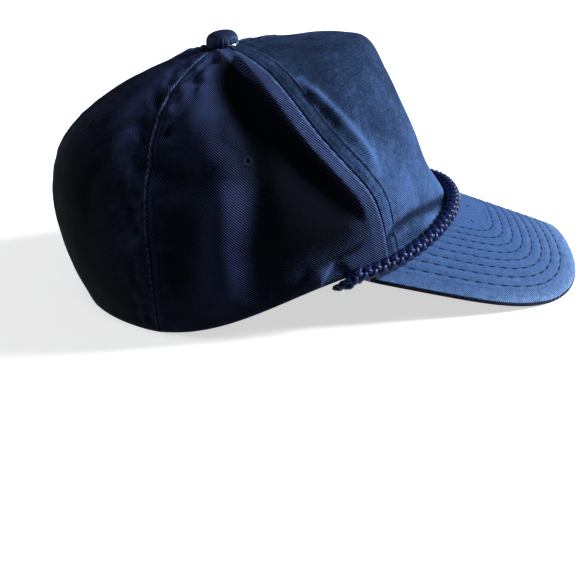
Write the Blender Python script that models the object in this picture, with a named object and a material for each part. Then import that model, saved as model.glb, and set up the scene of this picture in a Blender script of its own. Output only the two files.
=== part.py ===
"""Five-panel snapback cap with a rope across the front.

The crown is one closed-in surface, given by an angle around the head and a level from its lower
edge (0) to the button (1).  Angle 0 is the front (-Y), negative angles are on the wearer's right
(-X).  Every cloth piece is a stretch of that surface with its own wall.  The cap is modelled as
it is worn, and an empty tips it onto the floor, where it rests on its brim and its back edge.
"""
import math
from bisect import bisect_right
from collections import namedtuple

import bmesh
import bpy
from mathutils import Matrix, Vector

# Crown, metres
HALF_WIDTH = 0.0840        # lower edge, middle to side
FRONT_LENGTH = 0.0960      # lower edge, middle to front
BACK_LENGTH = 0.0925       # lower edge, middle to back
CROWN_HEIGHT = 0.1065      # back lower edge to the top
TOP_SHIFT = 0.0025         # how far back the top stands of the middle
CLOTH = 0.0018             # side and back panels with their seam tape
FRONT_CLOTH = 0.0024       # front panel with its stiffener
TOP_HOLE = 0.0045          # radius of the hole that the five panels leave at the top
CLEAR = 0.0003             # gap between pieces that are sewn or laid together
SEAM_GAP = 0.00035         # gap between two panels along their seam

# Brim
BRIM_LENGTH = 0.0590       # front of the crown to the brim's tip, level
BRIM_THICK = 0.0032
BRIM_RADIUS = 0.105        # curve across the brim
BRIM_PITCH = math.radians(28.0)
BRIM_END = math.radians(64.0)      # where the brim runs out along the crown
BRIM_END_RISE = 0.0110     # its ends above the back lower edge
BRIM_POWER = 3.15          # 2 is an ellipse in plan, more is squarer
BRIM_WAIST = 0.028         # share that its sides draw in halfway
BRIM_NOSE = 0.0010         # rounding of its outer edge

# Rope, button, band and strap
ROPE_RADIUS = 0.0032
ROPE_TUCK = math.radians(5.0)      # how far each end runs on past the brim, under the crown's edge
ROPE_TAPER = 0.62          # share of its thickness left at the ends
BUTTON_RADIUS = 0.0080
BUTTON_HEIGHT = 0.0070
SHANK_LENGTH = 0.0028      # shank that goes down through the top hole
HOLE_DRAW = 0.3            # share of the cloth's thickness by which that hole narrows inwards
BAND_HEIGHT = 0.032        # sweatband
BAND_CLOTH = 0.0012
BAND_HEM = 0.0010          # sweatband's lower edge above the crown's
BAND_SLACK = 0.0024        # how far its upper part stands off the crown's dents
OPENING_WIDTH = 0.076      # arched opening at the back
OPENING_HEIGHT = 0.046
STRAP_WIDTH = 0.017
STRAP_THICK = 0.0015
STRAP_HEM = 0.0020         # strap's lower edge above the crown's
STRAP_TUCK = 0.0075        # length of each end behind the panel
STRAP_LAP = 0.046          # length where the two halves of the strap lie on each other

# Where the lower edge lies flat on the floor, as an angle from the front
FLAT_FROM = math.radians(126.0)

# Mesh
FRONT_COLUMNS = 16
SIDE_COLUMNS = 9
BACK_COLUMNS = 9
ARCH_ROWS = 5
UPPER_ROWS = 12
BRIM_COLUMNS = 30
BRIM_ROWS = 6
BRIM_LAST_TURN = math.radians(89.0)     # the brim's outermost columns, short of its sharp ends
ROPE_POINTS = 44
SHIN_LEVELS = (0.02, 0.04, 0.06, 0.08)  # where the rope's side may touch the crown
BAND_COLUMNS = 40
BAND_ROWS = 3
STRAP_COLUMNS = 12
STEP = 1e-4                # angle and level step for slopes

# Crown sections: reach is a share of the lower edge's half width or length, height a share of the
# way from the lower edge to the top, shoulder scales the reach halfway between front and side.
Section = namedtuple(
    "Section", "level front_reach front_height shoulder side_reach side_height back_reach back_height")
SECTIONS = (
    Section(0.000, 1.000, 0.000, 1.000, 1.000, 0.000, 1.000, 0.000),
    Section(0.125, 0.953, 0.131, 1.000, 1.045, 0.136, 1.045, 0.133),
    Section(0.250, 0.895, 0.325, 1.030, 1.055, 0.328, 1.065, 0.334),
    Section(0.375, 0.832, 0.560, 1.000, 1.000, 0.540, 1.040, 0.540),
    Section(0.500, 0.775, 0.795, 0.966, 0.860, 0.735, 0.920, 0.710),
    Section(0.600, 0.728, 0.920, 0.935, 0.690, 0.840, 0.760, 0.815),
    Section(0.680, 0.655, 0.950, 0.930, 0.545, 0.895, 0.620, 0.875),
    Section(0.800, 0.460, 0.960, 0.955, 0.335, 0.955, 0.385, 0.945),
    Section(0.900, 0.250, 0.980, 0.985, 0.175, 0.985, 0.200, 0.980),
    Section(1.000, TOP_HOLE / FRONT_LENGTH, 1.000, 1.000, TOP_HOLE / HALF_WIDTH, 1.000,
            TOP_HOLE / BACK_LENGTH, 1.000),
)

# Seams, degrees from the front on each side
Seam = namedtuple("Seam", "level front_seam back_seam")
SEAMS = (
    Seam(0.00, 50.5, 121.0),
    Seam(0.25, 53.0, 116.0),
    Seam(0.50, 63.5, 115.5),
    Seam(0.75, 64.0, 121.0),
    Seam(1.00, 62.0, 123.0),
)

# Dents (-) and bulges (+) of the soft cloth: angle and spread in degrees, level and rise in levels,
# slant moves the fold round as it climbs, depth is a share of HALF_WIDTH.
Fold = namedtuple("Fold", "angle spread level rise slant depth")
FOLD_FADE = 0.06           # level below which the folds flatten out towards the sewn edge
FOLDS = (
    Fold(-75.0, 9.0, 0.50, 0.24, -1.0, -0.055),    # hollow behind the right front seam
    Fold(74.0, 9.0, 0.51, 0.24, 1.0, -0.048),      # hollow behind the left front seam
    Fold(-59.0, 6.0, 0.13, 0.06, 0.0, 0.014),      # pucker over the brim's right end
    Fold(60.0, 6.0, 0.13, 0.06, 0.0, 0.012),       # the same on the left
    Fold(-90.0, 6.5, 0.22, 0.20, 0.0, 0.020),      # upright fold on the right
    Fold(90.0, 6.5, 0.22, 0.20, 0.0, 0.020),       # upright fold on the left
    Fold(-78.0, 6.0, 0.26, 0.18, -0.3, -0.020),    # hollow in front of it
    Fold(80.0, 6.5, 0.27, 0.18, 0.3, -0.017),      # the same on the left
    Fold(-103.0, 6.5, 0.24, 0.18, 0.0, -0.014),    # hollow behind it
    Fold(105.0, 7.0, 0.25, 0.18, 0.0, -0.012),     # the same on the left
    Fold(-101.0, 10.0, 0.54, 0.13, 0.0, 0.012),    # fullness high on the right side
    Fold(103.0, 10.0, 0.54, 0.13, 0.0, 0.010),     # the same on the left
    Fold(-138.0, 9.0, 0.42, 0.25, 0.0, -0.012),    # slack in the right back panel
    Fold(140.0, 9.0, 0.44, 0.25, 0.0, -0.010),     # slack in the left back panel
    Fold(0.0, 46.0, 0.160, 0.040, 0.0, -0.012),    # crease across the front above the rope
)


def blend_rows(table, level):
    """A smooth curve through the rows of a table whose first column is the level."""
    levels = [row[0] for row in table]
    last = len(table) - 1
    index = min(max(bisect_right(levels, level) - 1, 0), last - 1)
    before = max(index - 1, 0)
    after = min(index + 2, last)
    width = levels[index + 1] - levels[index]
    share = (level - levels[index]) / width
    cubic = share ** 3
    square = share ** 2
    values = [level]
    for column in range(1, len(table[0])):
        start = table[index][column]
        end = table[index + 1][column]
        slope_in = (end - table[before][column]) / (levels[index + 1] - levels[before])
        slope_out = (table[after][column] - start) / (levels[after] - levels[index])
        values.append((2 * cubic - 3 * square + 1) * start
                      + (cubic - 2 * square + share) * width * slope_in
                      + (3 * square - 2 * cubic) * end
                      + (cubic - square) * width * slope_out)
    return type(table[0])(*values)


def ease(share):
    """Smooth step from 0 to 1."""
    share = min(max(share, 0.0), 1.0)
    return share * share * (3 - 2 * share)


# Brim surface

def edge_plan(angle, grow=0.0):
    """Point of the crown's lower edge in plan, moved out by grow."""
    length = FRONT_LENGTH if math.cos(angle) > 0 else BACK_LENGTH
    point = Vector((HALF_WIDTH * math.sin(angle), -length * math.cos(angle)))
    outward = Vector((length * math.sin(angle), -HALF_WIDTH * math.cos(angle))).normalized()
    return point + outward * grow


BRIM_END_POINT = edge_plan(BRIM_END)


def brim_top(x, y):
    """Height of the brim's upper face."""
    arch = math.sqrt(BRIM_RADIUS ** 2 - x * x) - math.sqrt(BRIM_RADIUS ** 2 - BRIM_END_POINT.x ** 2)
    return arch + math.tan(BRIM_PITCH) * (y - BRIM_END_POINT.y) + BRIM_END_RISE


def brim_normal(x, y):
    """Upward normal of the brim's upper face."""
    across = -x / math.sqrt(BRIM_RADIUS ** 2 - x * x)
    return Vector((-across, -math.tan(BRIM_PITCH), 1.0)).normalized()


def brim_outline(turn, inset=0.0):
    """Brim's outer edge in plan; turn runs from -90 degrees at the right end to 90 at the left."""
    def edge(at):
        forward = abs(math.cos(at)) ** (2 / BRIM_POWER)
        sideways = math.copysign(abs(math.sin(at)) ** (2 / BRIM_POWER), math.sin(at))
        waist = 1 - 2 * BRIM_WAIST * math.sin(math.pi * forward)
        tip = -FRONT_LENGTH - BRIM_LENGTH
        return Vector((BRIM_END_POINT.x * sideways * waist,
                       BRIM_END_POINT.y + forward * (tip - BRIM_END_POINT.y)))
    point = edge(turn)
    if inset:
        limit = math.pi / 2 - STEP
        along = edge(min(turn + STEP, limit)) - edge(max(turn - STEP, -limit))
        point += Vector((-along.y, along.x)).normalized() * inset
    return point


def brim_lay(share, turn, drop=0.0, inset=0.0):
    """Point of the brim from its root (share 0) to its outer edge (1), drop below the upper face."""
    root = edge_plan(turn * BRIM_END / (math.pi / 2), -FRONT_CLOTH)
    plan = root.lerp(brim_outline(turn, inset), share)
    top = Vector((plan.x, plan.y, brim_top(plan.x, plan.y)))
    return top - brim_normal(plan.x, plan.y) * drop


def brim_turns():
    """Turns of the brim's columns, from its right end to its left one."""
    return [BRIM_LAST_TURN * (2 * step / BRIM_COLUMNS - 1) for step in range(BRIM_COLUMNS + 1)]


def floor_slope():
    """Slope of the floor under the worn cap: it meets the brim's underside and the back edge."""
    lowest = [brim_lay(1.0, turn, BRIM_THICK, BRIM_NOSE) for turn in brim_turns()]
    return max(-point.z / (BACK_LENGTH - point.y) for point in lowest)


FLOOR_SLOPE = floor_slope()


# Crown surface

def lower_edge(plan, angle):
    """Height of the crown's lower edge at a plan point."""
    turned = abs(angle)
    if turned <= BRIM_END:
        return brim_top(plan.x, plan.y) + CLEAR
    floor = -FLOOR_SLOPE * (BACK_LENGTH - plan.y)
    if turned >= FLAT_FROM:
        return floor
    rise = ease((FLAT_FROM - turned) / (FLAT_FROM - BRIM_END))
    return floor * (1 - rise) + (BRIM_END_RISE + CLEAR) * rise


def fold_reach(angle, level):
    """What the dents and bulges add to the reach."""
    total = 0.0
    for fold in FOLDS:
        climb = (level - fold.level) / fold.rise
        round_by = math.degrees(angle) - fold.angle - fold.slant * fold.spread * climb
        total += fold.depth * math.exp(-(round_by / fold.spread) ** 2 - climb ** 2)
    return total


def crown_point(angle, level, folded=True):
    """Outer surface of the crown, with its folds or without."""
    section = blend_rows(SECTIONS, level)
    facing = math.cos(angle)
    sideways = math.sin(angle) ** 2
    if facing > 0:
        length, end_reach, end_height = FRONT_LENGTH, section.front_reach, section.front_height
        shoulder = 1 + (section.shoulder - 1) * 4 * sideways * facing ** 2
    else:
        length, end_reach, end_height = BACK_LENGTH, section.back_reach, section.back_height
        shoulder = 1.0
    reach = (facing ** 2 * end_reach + sideways * section.side_reach) * shoulder
    if folded:
        reach += fold_reach(angle, level) * ease(level / FOLD_FADE)
    height = facing ** 2 * end_height + sideways * section.side_height
    bottom = lower_edge(edge_plan(angle), angle)
    return Vector((HALF_WIDTH * reach * math.sin(angle),
                   -length * reach * facing + TOP_SHIFT * height,
                   bottom + (CROWN_HEIGHT - bottom) * height))


def crown_normal(angle, level, folded=True):
    """Outward normal of the crown; level with the floor along the lower edge."""
    low, high = max(level - STEP, 0.0), min(level + STEP, 1.0)
    around = crown_point(angle + STEP, level, folded) - crown_point(angle - STEP, level, folded)
    upward = crown_point(angle, high, folded) - crown_point(angle, low, folded)
    normal = around.cross(upward)
    if level == 0:
        normal.z = 0.0
    return normal.normalized()


def crown_layer(angle, level, depth, folded=True):
    """Point of the crown at a depth inside its outer surface."""
    point = crown_point(angle, level, folded) - crown_normal(angle, level, folded) * depth
    if level == 0:
        point.z = lower_edge(point.xy, angle)
    return point


def level_at(height, angle):
    """Level where the crown is a height above its lower edge at that angle."""
    low, high = 0.0, 0.6
    bottom = crown_point(angle, 0.0).z
    for _ in range(30):
        middle = (low + high) / 2
        if crown_point(angle, middle).z - bottom < height:
            low = middle
        else:
            high = middle
    return low


ARCH_LEVEL = level_at(OPENING_HEIGHT, math.pi)
ARCH_ANGLE = math.asin(OPENING_WIDTH / 2 / HALF_WIDTH)


def panel_levels():
    """Rows of every panel: round the opening's arch, then evenly up to the top."""
    lower = [ARCH_LEVEL * math.sin(math.pi / 2 * row / ARCH_ROWS) for row in range(ARCH_ROWS)]
    upper = [ARCH_LEVEL + (1 - ARCH_LEVEL) * row / UPPER_ROWS for row in range(UPPER_ROWS + 1)]
    return lower + upper


def gap_angle(angle, level):
    """Half a seam gap as an angle at this level."""
    point = crown_point(angle, level)
    return SEAM_GAP / 2 / math.hypot(point.x, point.y - TOP_SHIFT)


def front_seam(level):
    return math.radians(blend_rows(SEAMS, level).front_seam)


def back_seam(level):
    return math.radians(blend_rows(SEAMS, level).back_seam)


def middle_seam(level):
    """Edge of a back panel: the middle seam, and below it the arch of the opening."""
    share = min(level / ARCH_LEVEL, 1.0)
    return math.pi - ARCH_ANGLE * math.sqrt(1 - share * share)


# Meshes

def material(name, colour, roughness, metallic=0.0):
    made = bpy.data.materials.new(name)
    made.use_nodes = True
    shader = made.node_tree.nodes["Principled BSDF"]
    shader.inputs["Base Color"].default_value = (*colour, 1.0)
    shader.inputs["Roughness"].default_value = roughness
    shader.inputs["Metallic"].default_value = metallic
    return made


def add_object(name, mesh, finish):
    """Link a finished mesh as one named sub-part."""
    mesh.materials.append(finish)
    mesh.shade_smooth()
    mesh.set_sharp_from_angle(angle=math.radians(50))
    made = bpy.data.objects.new(name, mesh)
    bpy.context.collection.objects.link(made)
    return made


def sheet_solid(name, outer, inner, finish, nose=None):
    """Closed solid between two grids of points; nose rounds the edge of their last rows."""
    shape = bmesh.new()
    outer = [[shape.verts.new(point) for point in row] for row in outer]
    inner = [[shape.verts.new(point) for point in row] for row in inner]
    nose = [shape.verts.new(point) for point in nose] if nose else None
    rows, columns = len(outer), len(outer[0])
    for row in range(rows - 1):
        for column in range(columns - 1):
            for grid in (outer, inner):
                shape.faces.new((grid[row][column], grid[row][column + 1],
                                 grid[row + 1][column + 1], grid[row + 1][column]))
    for column in range(columns - 1):
        shape.faces.new((outer[0][column], outer[0][column + 1],
                         inner[0][column + 1], inner[0][column]))
        for near, far in ((outer[-1], nose), (nose, inner[-1])) if nose else ((outer[-1], inner[-1]),):
            shape.faces.new((near[column], near[column + 1], far[column + 1], far[column]))
    for column in (0, columns - 1):
        for row in range(rows - 1):
            corner = [nose[column]] if nose and row == rows - 2 else []
            shape.faces.new([outer[row][column], outer[row + 1][column], *corner,
                             inner[row + 1][column], inner[row][column]])
    bmesh.ops.recalc_face_normals(shape, faces=shape.faces)
    mesh = bpy.data.meshes.new(name)
    shape.to_mesh(mesh)
    shape.free()
    return add_object(name, mesh, finish)


def turned_solid(name, profile, centre, segments, finish):
    """Solid turned about an upright axis; the profile runs from axis to axis as (radius, height)."""
    shape = bmesh.new()
    points = [shape.verts.new((radius, 0.0, height)) for radius, height in profile]
    edges = [shape.edges.new(pair) for pair in zip(points, points[1:])]
    bmesh.ops.spin(shape, geom=points + edges, axis=(0, 0, 1), cent=(0, 0, 0),
                   angle=2 * math.pi, steps=segments)
    bmesh.ops.remove_doubles(shape, verts=shape.verts, dist=1e-6)
    bmesh.ops.recalc_face_normals(shape, faces=shape.faces)
    bmesh.ops.translate(shape, verts=shape.verts, vec=centre)
    mesh = bpy.data.meshes.new(name)
    shape.to_mesh(mesh)
    shape.free()
    return add_object(name, mesh, finish)


# Pieces

def even_angles(edges, level, columns):
    """Columns of a panel at a level, evenly from one seam line to the other."""
    (first, first_side), (second, second_side) = edges
    start = first_side * first(level)
    end = second_side * second(level)
    start += gap_angle(start, level)
    end -= gap_angle(end, level)
    return [start + (end - start) * column / columns for column in range(columns + 1)]


def add_panel(name, edges, columns, wall, finish):
    """Cloth panel between two seam lines, each a function from level to angle and a side.

    A panel that crosses an end of the brim has a column there along its lower edge.
    """
    foot = even_angles(edges, 0.0, columns)
    corners = [(min(range(1, columns), key=lambda column: abs(foot[column] - end)), end)
               for end in (-BRIM_END, BRIM_END) if foot[0] < end < foot[-1]]
    outer, inner = [], []
    for level in panel_levels():
        angles = even_angles(edges, level, columns)
        for column, end in corners:
            angles[column] += (end - foot[column]) * ease(1 - level / ARCH_LEVEL)
        outer.append([crown_layer(angle, level, 0.0) for angle in angles])
        inner.append([crown_layer(angle, level, wall) for angle in angles])
    return sheet_solid(name, outer, inner, finish)


def add_crown(cloth, front_cloth):
    """One wide front panel, two side panels and two back panels."""
    return [
        add_panel("front_panel", ((front_seam, -1), (front_seam, 1)), FRONT_COLUMNS, FRONT_CLOTH,
                  front_cloth),
        add_panel("side_panel_right", ((back_seam, -1), (front_seam, -1)), SIDE_COLUMNS, CLOTH, cloth),
        add_panel("side_panel_left", ((front_seam, 1), (back_seam, 1)), SIDE_COLUMNS, CLOTH, cloth),
        add_panel("back_panel_right", ((middle_seam, -1), (back_seam, -1)), BACK_COLUMNS, CLOTH, cloth),
        add_panel("back_panel_left", ((back_seam, 1), (middle_seam, 1)), BACK_COLUMNS, CLOTH, cloth),
    ]


def add_brim(finish):
    """Curved stiff brim; its root lies under the edge of the crown."""
    turns = brim_turns()
    shares = [row / BRIM_ROWS for row in range(BRIM_ROWS + 1)]
    top = [[brim_lay(share, turn, 0.0, BRIM_NOSE) for turn in turns] for share in shares]
    under = [[brim_lay(share, turn, BRIM_THICK, BRIM_NOSE) for turn in turns] for share in shares]
    nose = [brim_lay(1.0, turn, BRIM_THICK / 2) for turn in turns]
    return sheet_solid("brim", top, under, finish, nose)


def rope_seat(angle):
    """Where the rope's centre lies off the crown's edge, outward and up, when it touches both the
    crown's wall and the brim's upper face."""
    seat = ROPE_RADIUS + CLEAR
    plan = edge_plan(angle)
    ahead = edge_plan(angle, seat)
    fall = (brim_top(plan.x, plan.y) - brim_top(ahead.x, ahead.y)) / seat
    outward = (ahead - plan).normalized()
    foot = crown_point(angle, 0.0)
    rises = [crown_point(angle, level) - foot for level in SHIN_LEVELS]
    lean = min(-rise.xy.dot(outward) / rise.z for rise in rises)
    fall_length, lean_length = math.hypot(1, fall), math.hypot(1, lean)
    out = seat * (lean_length - lean * fall_length) / (1 - fall * lean)
    return out, CLEAR + seat * fall_length - fall * out


def rope_place(angle):
    """Centre and thickness share of the rope; past the brim it rolls under the crown's edge."""
    turned = abs(angle)
    plan = edge_plan(angle)
    outward = (edge_plan(angle, STEP) - plan).normalized()
    if turned <= BRIM_END:
        out, up = rope_seat(angle)
        return Vector((*(plan + outward * out), brim_top(plan.x, plan.y) + up)), 1.0
    out, up = rope_seat(BRIM_END)
    share = ease((turned - BRIM_END) / ROPE_TUCK)
    thick = 1 + (ROPE_TAPER - 1) * share
    start = math.atan2(up, out)
    roll = start + (-math.pi / 2 - start) * share
    away = math.hypot(out, up) * (1 - share ** 2) + (ROPE_RADIUS * thick + 2 * CLEAR) * share ** 2
    centre = plan + outward * away * math.cos(roll)
    return Vector((*centre, lower_edge(plan, angle) - CLEAR + away * math.sin(roll))), thick


def add_rope(finish):
    """Rope sewn along the foot of the crown, over the root of the brim."""
    curve = bpy.data.curves.new("rope", "CURVE")
    curve.dimensions = "3D"
    curve.bevel_depth = ROPE_RADIUS
    curve.bevel_resolution = 2
    curve.use_fill_caps = True
    spline = curve.splines.new("POLY")
    end = BRIM_END + ROPE_TUCK
    steps = [2 * index / (ROPE_POINTS - 1) - 1 for index in range(ROPE_POINTS)]
    spline.points.add(ROPE_POINTS - 1)
    for point, step in zip(spline.points, steps):
        centre, point.radius = rope_place(end * step)
        point.co = (*centre, 1.0)
    curve.materials.append(finish)
    rope = bpy.data.objects.new("rope", curve)
    bpy.context.collection.objects.link(rope)
    return rope


def add_button(finish):
    """Covered button on the top, with its shank through the hole between the panels."""
    base = CLEAR
    shank = TOP_HOLE - HOLE_DRAW * FRONT_CLOTH - CLEAR
    profile = (
        (0.0, -SHANK_LENGTH),
        (shank, -SHANK_LENGTH),
        (shank, base),
        (BUTTON_RADIUS * 0.93, base),
        (BUTTON_RADIUS, base + BUTTON_HEIGHT * 0.17),
        (BUTTON_RADIUS * 0.99, base + BUTTON_HEIGHT * 0.42),
        (BUTTON_RADIUS * 0.87, base + BUTTON_HEIGHT * 0.74),
        (BUTTON_RADIUS * 0.58, base + BUTTON_HEIGHT * 0.94),
        (0.0, base + BUTTON_HEIGHT),
    )
    return turned_solid("button", profile, (0.0, TOP_SHIFT, CROWN_HEIGHT), 20, finish)


def add_sweatband(finish):
    """Band folded round the inside of the crown's foot, open at the back opening."""
    inside = edge_plan(math.pi - ARCH_ANGLE).length
    reach = math.pi - ARCH_ANGLE - (STRAP_TUCK + 4 * CLEAR) / inside
    angles = [reach * (2 * column / BAND_COLUMNS - 1) for column in range(BAND_COLUMNS + 1)]
    heights = [BAND_HEM + (BAND_HEIGHT - BAND_HEM) * row / BAND_ROWS for row in range(BAND_ROWS + 1)]

    def layer(height, extra):
        depth = FRONT_CLOTH + 2 * CLEAR + BAND_SLACK * ease(height / heights[1]) + extra
        row = []
        for angle in angles:
            foot = crown_layer(angle, 0.0, depth, folded=False).z - crown_point(angle, 0.0).z
            level = level_at(foot + height, angle)
            point = crown_point(angle, level, folded=False)
            outward = crown_normal(angle, level, folded=False)
            outward.z = 0.0
            row.append(point - outward * depth / outward.length_squared)
        return row

    outer = [layer(height, 0.0) for height in heights]
    inner = [layer(height, BAND_CLOTH) for height in heights]
    return sheet_solid("sweatband", outer, inner, finish)


def add_strap(finish):
    """Snap strap across the opening: the left half lies over the right one in the middle."""
    inside = edge_plan(math.pi).length
    half = ARCH_ANGLE + STRAP_TUCK / inside
    lap = STRAP_LAP / 2 / inside
    low_level = level_at(STRAP_HEM, math.pi)
    high_level = level_at(STRAP_HEM + STRAP_WIDTH, math.pi)
    turns = [half * (2 * column / STRAP_COLUMNS - 1) for column in range(STRAP_COLUMNS + 1)]
    turns = sorted(turns + [-lap - STEP, -lap + STEP, lap - STEP, lap + STEP])
    depth = CLOTH + CLEAR

    def layer(level, back):
        row = []
        for turn in turns:
            front = depth + (STRAP_THICK if turn < -lap else 0.0)
            rear = depth + STRAP_THICK * (1 if turn > lap else 2)
            row.append(crown_layer(math.pi - turn, level, rear if back else front))
        return row

    levels = (low_level, high_level)
    outer = [layer(level, False) for level in levels]
    inner = [layer(level, True) for level in levels]
    return sheet_solid("snap_strap", outer, inner, finish)


def rest_on_floor(pieces):
    """Tip the cap onto its brim and back edge, with the middle of its length over the origin."""
    tilt = math.atan(FLOOR_SLOPE)
    turn = Matrix.Rotation(-tilt, 4, "X")
    bpy.context.view_layer.update()
    graph = bpy.context.evaluated_depsgraph_get()
    corners = []
    for piece in pieces:
        mesh = piece.evaluated_get(graph).to_mesh()
        corners += [turn @ vertex.co for vertex in mesh.vertices]
    low = Vector([min(point[axis] for point in corners) for axis in range(3)])
    high = Vector([max(point[axis] for point in corners) for axis in range(3)])
    middle = (low + high) / 2
    seat = bpy.data.objects.new("resting_cap", None)
    seat.rotation_euler = (-tilt, 0.0, 0.0)
    seat.location = (0.0, -middle.y, -low.z)
    bpy.context.collection.objects.link(seat)
    for piece in pieces:
        piece.parent = seat


def build():
    for old in list(bpy.data.objects):
        bpy.data.objects.remove(old)
    cloth = material("navy_twill", (0.020, 0.028, 0.060), 0.85)
    front_cloth = material("washed_navy_twill", (0.040, 0.068, 0.150), 0.85)
    brim_cloth = material("washed_brim_twill", (0.055, 0.105, 0.230), 0.80)
    cord = material("navy_cord", (0.012, 0.020, 0.065), 0.45)
    band = material("navy_sweatband", (0.018, 0.022, 0.045), 0.90)
    plastic = material("navy_plastic", (0.012, 0.016, 0.040), 0.40)
    pieces = add_crown(cloth, front_cloth)
    pieces += [add_brim(brim_cloth), add_rope(cord), add_button(front_cloth), add_sweatband(band),
               add_strap(plastic)]
    rest_on_floor(pieces)


build()
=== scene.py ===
import math

import bpy
import numpy as np
from mathutils import Matrix, Vector, noise
from mathutils.bvhtree import BVHTree
from mathutils.kdtree import KDTree


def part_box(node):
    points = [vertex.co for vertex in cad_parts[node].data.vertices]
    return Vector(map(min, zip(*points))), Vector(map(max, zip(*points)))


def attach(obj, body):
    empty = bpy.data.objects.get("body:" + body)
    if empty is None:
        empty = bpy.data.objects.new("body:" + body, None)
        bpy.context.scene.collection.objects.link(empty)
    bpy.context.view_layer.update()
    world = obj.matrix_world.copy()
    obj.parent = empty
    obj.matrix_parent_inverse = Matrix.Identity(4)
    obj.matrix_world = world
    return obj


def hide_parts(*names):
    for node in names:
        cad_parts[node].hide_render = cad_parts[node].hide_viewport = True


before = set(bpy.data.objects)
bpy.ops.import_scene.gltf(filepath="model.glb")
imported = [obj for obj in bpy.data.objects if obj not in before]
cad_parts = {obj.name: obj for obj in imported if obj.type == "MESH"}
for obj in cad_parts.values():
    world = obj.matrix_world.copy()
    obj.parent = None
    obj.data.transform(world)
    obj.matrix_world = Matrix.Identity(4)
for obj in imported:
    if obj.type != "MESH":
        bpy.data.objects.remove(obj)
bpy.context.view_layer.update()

bpy.context.scene.view_settings.view_transform = "Standard"


# Crown. One wide stiffened front panel, two side panels and two back panels of washed navy
# cotton twill, sewn edge to edge. The seam allowances are pressed back and stitched down, and
# the cloth is soft enough to sink into dents between the seams.

# each panel, and the two panels that it is sewn to
PANELS = {
    "front_panel": ("side_panel_right", "side_panel_left"),
    "side_panel_right": ("front_panel", "back_panel_right"),
    "side_panel_left": ("front_panel", "back_panel_left"),
    "back_panel_right": ("side_panel_right", "back_panel_left"),
    "back_panel_left": ("side_panel_left", "back_panel_right"),
}
# which way each panel faces, in degrees round the crown from its front
PANEL_MIDDLES = {"front_panel": 0.0, "side_panel_right": -87.0, "side_panel_left": 87.0,
                 "back_panel_right": -150.0, "back_panel_left": 150.0}
# the rounded form whose outward directions the cloth follows
CROWN_MIDDLE = np.array((0.0, 0.020, 0.0))
CROWN_REACH = np.array((0.084, 0.096, 0.120))

# rows of stitching and raised cloth beside the seams, in millimetres
TOP_ROW = 6.2           # topstitching on the front panel, from its seam
MARGIN = (2.5, 7.6)     # stiff margin of the side panel behind that seam, near the button and below
MARGIN_LIFT = 2.2
HOLLOW_DEPTH = 3.8      # pocket that the soft cloth sinks into behind the margin
BACK_ROWS = (3.2, 0.9)  # rows beside the back side seams, on the side and on the back panel
MIDDLE_ROW = 3.0        # rows beside the seam down the middle of the back
# the folded-back cloth beside each kind of seam: height, reach and the height of its puckers
SEAM_WELTS = {"front": (0.55, TOP_ROW + 1.6, 0.75), "side": (0.40, 5.5, 2.2),
              "back": (0.40, MIDDLE_ROW + 2.5, 0.5)}

# soft unevenness of the cloth: height in millimetres, size in metres, seed
SOFT_WAVES = ((1.1, 0.034, 1.0), (0.45, 0.013, 2.0))
LEFT_SHARE = 0.75       # folds of the left side against those of the right
FOLD_END = 0.22         # share of a fold's length over which it dies away
SEAM_CLOSE = 0.00024    # brings the cloth of two panels together over the solids' gap

# Two lines that both a fold and the painted light and shade follow, on the right side, in
# millimetres.
SEAM_FOLD = ((-43.7, 5.2, 108.1), (-48.5, -1.2, 104.5), (-52.3, -6.7, 99.9), (-55.2, -13.0, 93.7),
             (-56.9, -18.5, 87.2), (-58.6, -24.0, 79.3), (-60.6, -29.1, 70.5))
FOOT_DENT = ((-65.8, -32.1, 39.1), (-58.9, -39.0, 43.0), (-44.7, -49.5, 43.6), (-3.6, -67.5, 35.8))

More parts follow.
